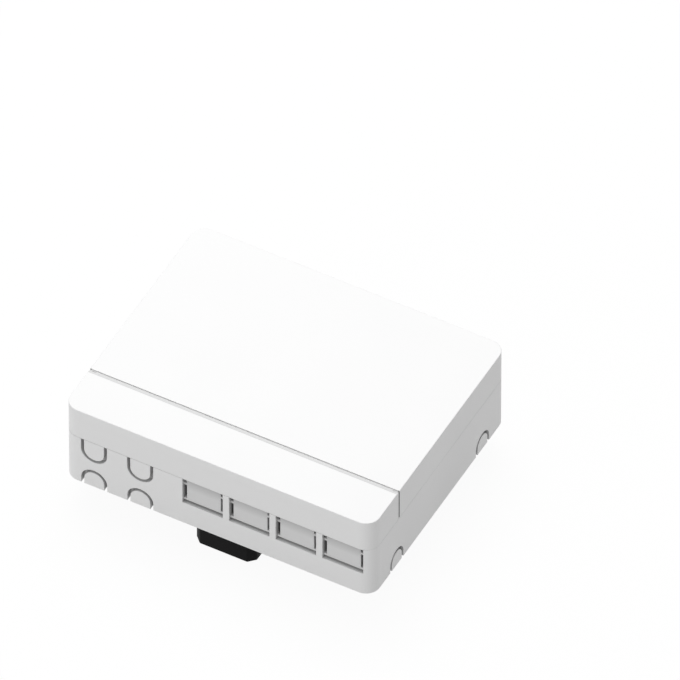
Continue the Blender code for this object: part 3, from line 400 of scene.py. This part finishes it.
def select_faces(piece, wanted):
    """Select the faces that a test on their centre and normal picks, and go to edit mode."""
    bpy.context.tool_settings.mesh_select_mode = (False, False, True)
    bpy.ops.object.mode_set(mode="EDIT")
    bpy.ops.mesh.select_all(action="DESELECT")
    bpy.ops.object.mode_set(mode="OBJECT")
    for face in piece.data.polygons:
        face.select = wanted(face.center, face.normal)
    bpy.ops.object.mode_set(mode="EDIT")


def copies_of(piece, shifts):
    """The piece and its copies, each copy with its own mesh and moved by its own shift."""
    made = [piece]
    for shift in shifts:
        deselect_everything()
        piece.select_set(True)
        bpy.context.view_layer.objects.active = piece
        bpy.ops.object.duplicate(linked=False)
        bpy.ops.transform.translate(value=shift)
        made.append(bpy.context.object)
    return made


def pin_marks(name, places, level, facing, body):
    """Ejector marks on a level face that looks up (facing 1) or down (facing -1)."""
    x, y = places[0]
    deselect_everything()
    bpy.ops.mesh.primitive_cylinder_add(vertices=40, radius=pin_radius, depth=4 * pin_rise,
                                        location=(x, y, level - facing * pin_rise))
    disc = bpy.context.object
    select_faces(disc, lambda centre, normal: normal.z * facing > 0.9)
    bpy.ops.mesh.inset(thickness=pin_rim)
    bpy.ops.transform.translate(value=(0, 0, -facing * pin_dish))
    bpy.ops.object.mode_set(mode="OBJECT")
    discs = copies_of(disc, [(other_x - x, other_y - y, 0) for other_x, other_y in places[1:]])
    settle(join_pieces(discs), name, white_abs, body)


pin_marks("lid_pin_marks", lid_pins, lid_underside, -1, "lid")
pin_marks("floor_pin_marks", floor_pins, floor_top, 1, "case")
pin_marks("skirt_pin_marks", skirt_pins, floor_underside, -1, "case")
pin_marks("bracket_pin_marks", bracket_pins, plate_underside, -1, "case")

gate_radius = 0.0012
gate_neck_radius = 0.0008
gate_height = 0.0005
gate_drop = 0.0001
gate_y = 0.006
snapped_rim = 0.0003
snapped_lean = 0.0001
snapped_rise = 0.0001
deselect_everything()
bpy.ops.mesh.primitive_cone_add(vertices=28, radius1=gate_radius, radius2=gate_neck_radius,
                                depth=gate_height, rotation=(pi, 0, 0),
                                location=(0.0, gate_y, lid_underside - gate_drop))
gate = bpy.context.object
select_faces(gate, lambda centre, normal: normal.z > 0.9 and centre.z > 0)
bpy.ops.mesh.inset(thickness=snapped_rim)
bpy.ops.transform.translate(value=(snapped_lean, 0, snapped_rise))
bpy.ops.object.mode_set(mode="OBJECT")
settle(gate, "lid_gate_stub", white_abs, "lid")

# The lips that close the joints between the three mouldings.
# A low bead runs round the base's rim, a little inside the wall's face, and the cap has a thin
# tongue on its back edge. The covers close on them, so the joints show as fine creases.
parting_gap = 0.0002
corner_radius = 0.0044
lip_inset = 0.00008
lip_side_inset = 0.00003
lip_width = 0.0008
lip_sink = 0.00004
lip_clearance = 0.00002
tongue_side_inset = 0.00025
tongue_height = 0.0007
tongue_edge_radius = 0.00003
lip_abs = moulded_plastic("white_abs_lips", white, deeper_white, satin, spark_grain, spark_depth,
                          edge_radius=0.0001)

deselect_everything()
bpy.ops.mesh.primitive_plane_add(size=1, location=(0, 0, base_high[2] - lip_sink))
rim_lip = bpy.context.object
rim_lip.scale = (base_high[0] - base_low[0] - 2 * lip_side_inset,
                 base_high[1] - base_low[1] - 2 * lip_inset, 1)
bpy.ops.object.transform_apply(location=False, rotation=False, scale=True)
bpy.ops.object.mode_set(mode="EDIT")
bpy.ops.mesh.select_all(action="SELECT")
bpy.ops.mesh.bevel(offset=corner_radius - lip_inset, segments=12, affect="VERTICES")
bpy.ops.mesh.select_all(action="SELECT")
bpy.ops.mesh.inset(thickness=lip_width)
bpy.ops.mesh.delete(type="FACE")
bpy.ops.mesh.select_all(action="SELECT")
bpy.ops.mesh.extrude_region_move(
    TRANSFORM_OT_translate={"value": (0, 0, parting_gap + lip_sink - lip_clearance)})
bpy.ops.mesh.select_all(action="SELECT")
bpy.ops.mesh.normals_make_consistent(inside=False)
bpy.ops.object.mode_set(mode="OBJECT")
settle(rim_lip, "rim_lip", lip_abs, "case")

tongue_top = cap_high[2] - ledge_drop - lip_sink
seam_middle = (cap_high[1] + lid_low[1]) / 2
deselect_everything()
bpy.ops.mesh.primitive_cube_add(size=1, location=(0, seam_middle - lip_sink,
                                                  tongue_top - tongue_height / 2))
seam_tongue = bpy.context.object
seam_tongue.scale = (cap_high[0] - cap_low[0] - 2 * tongue_side_inset,
                     lid_low[1] - cap_high[1] - lip_clearance, tongue_height)
bpy.ops.object.transform_apply(location=False, rotation=False, scale=True)
select_faces(seam_tongue, lambda centre, normal: normal.z > 0.9)
bpy.ops.mesh.bevel(offset=tongue_edge_radius, segments=2, affect="EDGES")
bpy.ops.object.mode_set(mode="OBJECT")
settle(seam_tongue, "seam_tongue", lip_abs, "case")

# The cable clamp and the splice holder.
# Both are small mouldings in the same white ABS, from finer tools, so they are a little glossier.
# The clamp is screwed down on its bosses, and the holder drops over two pegs.
fine_abs = moulded_plastic("white_abs_fine", white, deeper_white, roughness=0.34,
                           grain_size=0.0003, grain_depth=0.000003, edge_radius=0.0001)
# Painted shade in the creases.
shade_creases(fine_abs, crease_reach, crease_shade)
dress(("splice_holder", "cable_clamp"), fine_abs)

# The two feet under the bracket.
# Black glass-filled nylon, moulded with a coarser grain and rounded edges, so that the jaws can
# flex over the rail. Each is drawn up against the bracket by its screw and nut.
foot_edge_radius = 0.0004
shortest_rounded_edge = 0.0015
merge_distance = 0.000002
flat_below = radians(2)
corner_above = radians(30)
nylon = moulded_plastic("black_nylon", (0.004, 0.004, 0.0042), (0.0025, 0.0025, 0.0025),
                        roughness=0.65, grain_size=0.0006, grain_depth=0.00002,
                        edge_radius=0.0002)
nylon.node_tree.nodes["Principled BSDF"].inputs["Specular IOR Level"].default_value = 0.10

for end in ("front", "back"):
    rounded_foot = bpy.data.objects.new("rounded_foot", nodes["din_foot_" + end].data.copy())
    bpy.context.scene.collection.objects.link(rounded_foot)
    deselect_everything()
    rounded_foot.select_set(True)
    bpy.context.view_layer.objects.active = rounded_foot
    bpy.ops.object.mode_set(mode="EDIT")
    bpy.ops.mesh.select_all(action="SELECT")
    bpy.ops.mesh.remove_doubles(threshold=merge_distance)
    bpy.ops.mesh.dissolve_limited(angle_limit=flat_below)
    bpy.ops.mesh.select_mode(type="EDGE")
    bpy.ops.mesh.select_all(action="DESELECT")
    mesh_in_hand = bmesh.from_edit_mesh(rounded_foot.data)
    for edge in mesh_in_hand.edges:
        edge.select = (edge.is_convex and edge.calc_length() > shortest_rounded_edge
                       and edge.calc_face_angle() > corner_above)
    bmesh.update_edit_mesh(rounded_foot.data)
    bpy.ops.mesh.bevel(offset=foot_edge_radius, segments=3, affect="EDGES")
    bpy.ops.object.mode_set(mode="OBJECT")
    settle(rounded_foot, "rounded_foot_" + end, nylon, "case")
    flat_faces = rounded_foot.modifiers.new("flat_faces", "WEIGHTED_NORMAL")
    flat_faces.keep_sharp = True
    bpy.ops.object.modifier_apply(modifier=flat_faces.name)
    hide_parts("din_foot_" + end)

# The screws and nuts.
# Cold-headed steel with rolled threads and a crossed drive, plated with bright zinc. The foot
# screws go up into the bracket's nuts, and the clamp screws cut their own way into the bosses.
zinc = moulded_plastic("bright_zinc", (0.74, 0.75, 0.77), (0.64, 0.65, 0.69), roughness=0.28,
                       grain_size=0.0005, grain_depth=0.000003, edge_radius=0.0001)
zinc.node_tree.nodes["Principled BSDF"].inputs["Metallic"].default_value = 1.0
dress(("foot_nut_front", "foot_nut_back"), zinc)
dome_of_head = 0.55
slot_length_of_radius = 1.15
slot_width_of_radius = 0.26
slot_bottom_of_top = 0.65
tip_bevel_of_core = 0.5
thread_steps = 28


def cut_slot(head, centre, size, turn):
    """Cut one tapered slot of a crossed drive into a screw's head."""
    deselect_everything()
    bpy.ops.mesh.primitive_cube_add(size=1, location=centre, rotation=(0, 0, turn))
    slot = bpy.context.object
    slot.scale = size
    bpy.ops.object.transform_apply(location=False, rotation=True, scale=True)
    select_faces(slot, lambda face_centre, normal: normal.z < -0.9)
    bpy.ops.transform.resize(value=(slot_bottom_of_top, slot_bottom_of_top, 1.0))
    bpy.ops.object.mode_set(mode="OBJECT")
    bpy.context.view_layer.objects.active = head
    cutting = head.modifiers.new("slot", "BOOLEAN")
    cutting.operation = "DIFFERENCE"
    cutting.solver = "EXACT"
    cutting.object = slot
    bpy.ops.object.modifier_apply(modifier=cutting.name)
    bpy.data.objects.remove(slot, do_unlink=True)


def threaded_screw(node, head_height, crest_radius, core_radius, pitch):
    """A pan-head screw, head up, in a node's place: a slotted dome, a core and its thread."""
    low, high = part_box(node)
    x, y = (low[0] + high[0]) / 2, (low[1] + high[1]) / 2
    head_radius = (high[0] - low[0]) / 2
    top, tip = high[2], low[2]
    under_head = top - head_height
    deselect_everything()
    bpy.ops.mesh.primitive_cylinder_add(vertices=48, radius=head_radius, depth=head_height,
                                        location=(x, y, under_head + head_height / 2))
    head = bpy.context.object
    select_faces(head, lambda centre, normal: normal.z > 0.9)
    bpy.ops.mesh.bevel(offset=head_height * dome_of_head, segments=6, affect="EDGES")
    bpy.ops.object.mode_set(mode="OBJECT")
    slot_size = (head_radius * slot_length_of_radius, head_radius * slot_width_of_radius,
                 head_height)
    for turn in (0, pi / 2):
        cut_slot(head, (x, y, top), slot_size, turn)
    shank = under_head - tip
    core_length = shank + pitch / 4
    deselect_everything()
    bpy.ops.mesh.primitive_cylinder_add(vertices=32, radius=core_radius, depth=core_length,
                                        location=(x, y, tip + core_length / 2))
    core = bpy.context.object
    select_faces(core, lambda centre, normal: normal.z < -0.9)
    bpy.ops.mesh.bevel(offset=core_radius * tip_bevel_of_core, segments=2, affect="EDGES")
    bpy.ops.object.mode_set(mode="OBJECT")
    deselect_everything()
    bpy.ops.mesh.primitive_circle_add(vertices=4, radius=crest_radius - core_radius,
                                      location=(x, y, tip + pitch), rotation=(pi / 2, 0, 0))
    thread = bpy.context.object
    bpy.ops.object.transform_apply(location=False, rotation=True, scale=False)
    bpy.ops.object.mode_set(mode="EDIT")
    bpy.ops.mesh.select_all(action="SELECT")
    bpy.ops.transform.translate(value=(core_radius, 0, 0))
    bpy.ops.object.mode_set(mode="OBJECT")
    winding = thread.modifiers.new("winding", "SCREW")
    winding.axis = "Z"
    winding.steps = thread_steps
    winding.render_steps = thread_steps
    winding.iterations = int((shank - 2 * pitch) / pitch)
    winding.screw_offset = pitch
    bpy.ops.object.modifier_apply(modifier=winding.name)
    bpy.ops.object.mode_set(mode="EDIT")
    bpy.ops.mesh.select_all(action="SELECT")
    bpy.ops.mesh.fill_holes(sides=4)
    bpy.ops.mesh.normals_make_consistent(inside=False)
    bpy.ops.object.mode_set(mode="OBJECT")
    return join_pieces([head, core, thread])


front_low, front_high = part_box("foot_screw_front")
foot_screw = threaded_screw("foot_screw_front", head_height=0.0024, crest_radius=0.0020,
                            core_radius=0.0017, pitch=0.0007)
bpy.ops.transform.rotate(value=pi, orient_axis="X", center_override=(front_low + front_high) / 2)
foot_screws = copies_of(foot_screw, [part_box("foot_screw_back")[0] - front_low])
clamp_screw = threaded_screw("clamp_screw_left", head_height=0.0014, crest_radius=0.0011,
                             core_radius=0.0008, pitch=0.0008)
left_to_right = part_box("clamp_screw_right")[0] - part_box("clamp_screw_left")[0]
clamp_screws = copies_of(clamp_screw, [left_to_right])
for screw, node in zip(foot_screws + clamp_screws,
                       ("foot_screw_front", "foot_screw_back",
                        "clamp_screw_left", "clamp_screw_right")):
    settle(screw, node + "_threaded", zinc, "case")
    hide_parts(node)

# The four adapters, with a grip pad on each.
# A green polycarbonate housing that is dropped between the base's dividers, with a raised pad on
# top, ribbed for a fingertip. Its sleeve inside is polished zirconia.
pad_size = (0.0084, 0.0050, 0.0004)
pad_sink = 0.0002
pad_to_mouth = 0.0068
pad_edge_radius = 0.00022
rib_pitch = 0.0012
rib_radius = 0.00025
rib_length = 0.8 * pad_size[0]
rib_end_radius = 0.0001
green = moulded_plastic("green_adapter_plastic", (0.02, 0.30, 0.12), (0.015, 0.25, 0.10),
                        roughness=0.33, grain_size=0.0003, grain_depth=0.000006,
                        edge_radius=0.0002)
# Painted shade in the creases.
shade_creases(green, reach=0.0015, deepest=0.5)
ceramic = moulded_plastic("polished_ceramic", (0.90, 0.88, 0.84), (0.86, 0.84, 0.80),
                          roughness=0.15, grain_size=0.0003, grain_depth=0.0000005,
                          edge_radius=0.0001)
dress([f"sc_adapter_{number}" for number in (1, 2, 3, 4)], green)
dress([f"alignment_sleeve_{number}" for number in (1, 2, 3, 4)], ceramic)

low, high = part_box("sc_adapter_1")
pad_x, pad_y = (low[0] + high[0]) / 2, high[1] - pad_to_mouth
deselect_everything()
bpy.ops.mesh.primitive_cube_add(size=1, location=(pad_x, pad_y,
                                                  high[2] + (pad_size[2] - pad_sink) / 2))
pad = bpy.context.object
pad.scale = (pad_size[0], pad_size[1], pad_size[2] + pad_sink)
bpy.ops.object.transform_apply(location=False, rotation=False, scale=True)
select_faces(pad, lambda centre, normal: normal.z > 0.9)
bpy.ops.mesh.bevel(offset=pad_edge_radius, segments=3, affect="EDGES")
bpy.ops.object.mode_set(mode="OBJECT")
first_rib = (pad_x, pad_y - 1.5 * rib_pitch, high[2] + pad_size[2])
deselect_everything()
bpy.ops.mesh.primitive_cylinder_add(vertices=16, radius=rib_radius, depth=rib_length,
                                    location=first_rib, rotation=(0, pi / 2, 0))
rib = bpy.context.object
bpy.ops.object.transform_apply(location=False, rotation=True, scale=False)
select_faces(rib, lambda centre, normal: abs(normal.x) > 0.9)
bpy.ops.mesh.bevel(offset=rib_end_radius, segments=2, affect="EDGES")
bpy.ops.object.mode_set(mode="OBJECT")
ribs = copies_of(rib, [(0, step * rib_pitch, 0) for step in (1, 2, 3)])
grips = copies_of(join_pieces([pad] + ribs),
                  [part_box(f"sc_adapter_{number}")[0] - low for number in (2, 3, 4)])
for number, grip in enumerate(grips, start=1):
    settle(grip, f"adapter_grip_{number}", green, "case")

# The dust plugs in the adapters' inner ends.
# Soft grey thermoplastic rubber, moulded in one, so every edge is rounded: a stem in the bore, a
# flange against the adapter, and a ribbed tab to pull it out by.
flange_margin = 0.0009
flange_thickness = 0.0010
flange_edge_radius = 0.00035
stem_edge_radius = 0.0006
tab_size = (0.0044, 0.0025, 0.0030)
tab_edge_radius = 0.0005
overlap = 0.0004
tab_rib_start = 0.00072
tab_rib_end = 0.00108
half_tab_rib_height = 0.0002
half_tab_rib_length = 0.4 * tab_size[0]
tab_rib_edge_radius = 0.00012
tab_rib_pitch = 0.0008
plug_rubber = moulded_plastic("grey_plug_rubber", (0.55, 0.56, 0.57), (0.50, 0.51, 0.52),
                              roughness=0.62, grain_size=0.0004, grain_depth=0.000012,
                              edge_radius=0.0003)
# Painted shade in the creases.
shade_creases(plug_rubber, reach=0.0015, deepest=0.6)


def soft_block(block_low, block_high, edge_radius):
    """A block with every edge rounded."""
    deselect_everything()
    middle = [(first + last) / 2 for first, last in zip(block_low, block_high)]
    bpy.ops.mesh.primitive_cube_add(size=1, location=middle)
    block = bpy.context.object
    block.scale = [last - first for first, last in zip(block_low, block_high)]
    bpy.ops.object.transform_apply(location=False, rotation=False, scale=True)
    bpy.ops.object.mode_set(mode="EDIT")
    bpy.ops.mesh.select_all(action="SELECT")
    bpy.ops.mesh.bevel(offset=edge_radius, segments=4, affect="EDGES")
    bpy.ops.object.mode_set(mode="OBJECT")
    return block


low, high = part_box("dust_plug_1")
x, z = (low[0] + high[0]) / 2, (low[2] + high[2]) / 2
flange_back = high[1] - tab_size[1]
flange_front = flange_back - flange_thickness
tab_top = z + tab_size[2] / 2
stem = soft_block((low[0] + flange_margin, low[1], low[2] + flange_margin),
                  (high[0] - flange_margin, flange_front + overlap, high[2] - flange_margin),
                  stem_edge_radius)
flange = soft_block((low[0], flange_front, low[2]), (high[0], flange_back, high[2]),
                    flange_edge_radius)
tab = soft_block((x - tab_size[0] / 2, flange_back - overlap, z - tab_size[2] / 2),
                 (x + tab_size[0] / 2, high[1], tab_top), tab_edge_radius)
tab_rib = soft_block((x - half_tab_rib_length, flange_back + tab_rib_start,
                      tab_top - half_tab_rib_height),
                     (x + half_tab_rib_length, flange_back + tab_rib_end,
                      tab_top + half_tab_rib_height), tab_rib_edge_radius)
tab_ribs = copies_of(tab_rib, [(0, 0, -tab_size[2]), (0, tab_rib_pitch, 0),
                               (0, tab_rib_pitch, -tab_size[2])])
plug = join_pieces([flange, stem, tab] + tab_ribs)
plugs = copies_of(plug, [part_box(f"dust_plug_{number}")[0] - low for number in (2, 3, 4)])
for number, plug in enumerate(plugs, start=1):
    settle(plug, f"soft_plug_{number}", plug_rubber, "case")
    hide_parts(f"dust_plug_{number}")

# The dust seals behind the ports.
# Each is a frame die-cut from black closed-cell foam strip and pressed between the wall and the
# adapter. Its skinless cut faces are dull and pitted. The black is the foam's own, and it also
# stands behind the slits as a dark sheet where they show only shade.
foam_and_slit_shade = moulded_plastic("black_foam", (0.014, 0.014, 0.014), (0.006, 0.006, 0.006),
                       roughness=0.95, grain_size=0.00035, grain_depth=0.00006,
                       edge_radius=0.0002)
foam_and_slit_shade.node_tree.nodes["Principled BSDF"].inputs["Specular IOR Level"].default_value = 0.1
# The black foam also paints the shade behind the slits.
dress([f"dust_seal_{number}" for number in (1, 2, 3, 4)], foam_and_slit_shade)
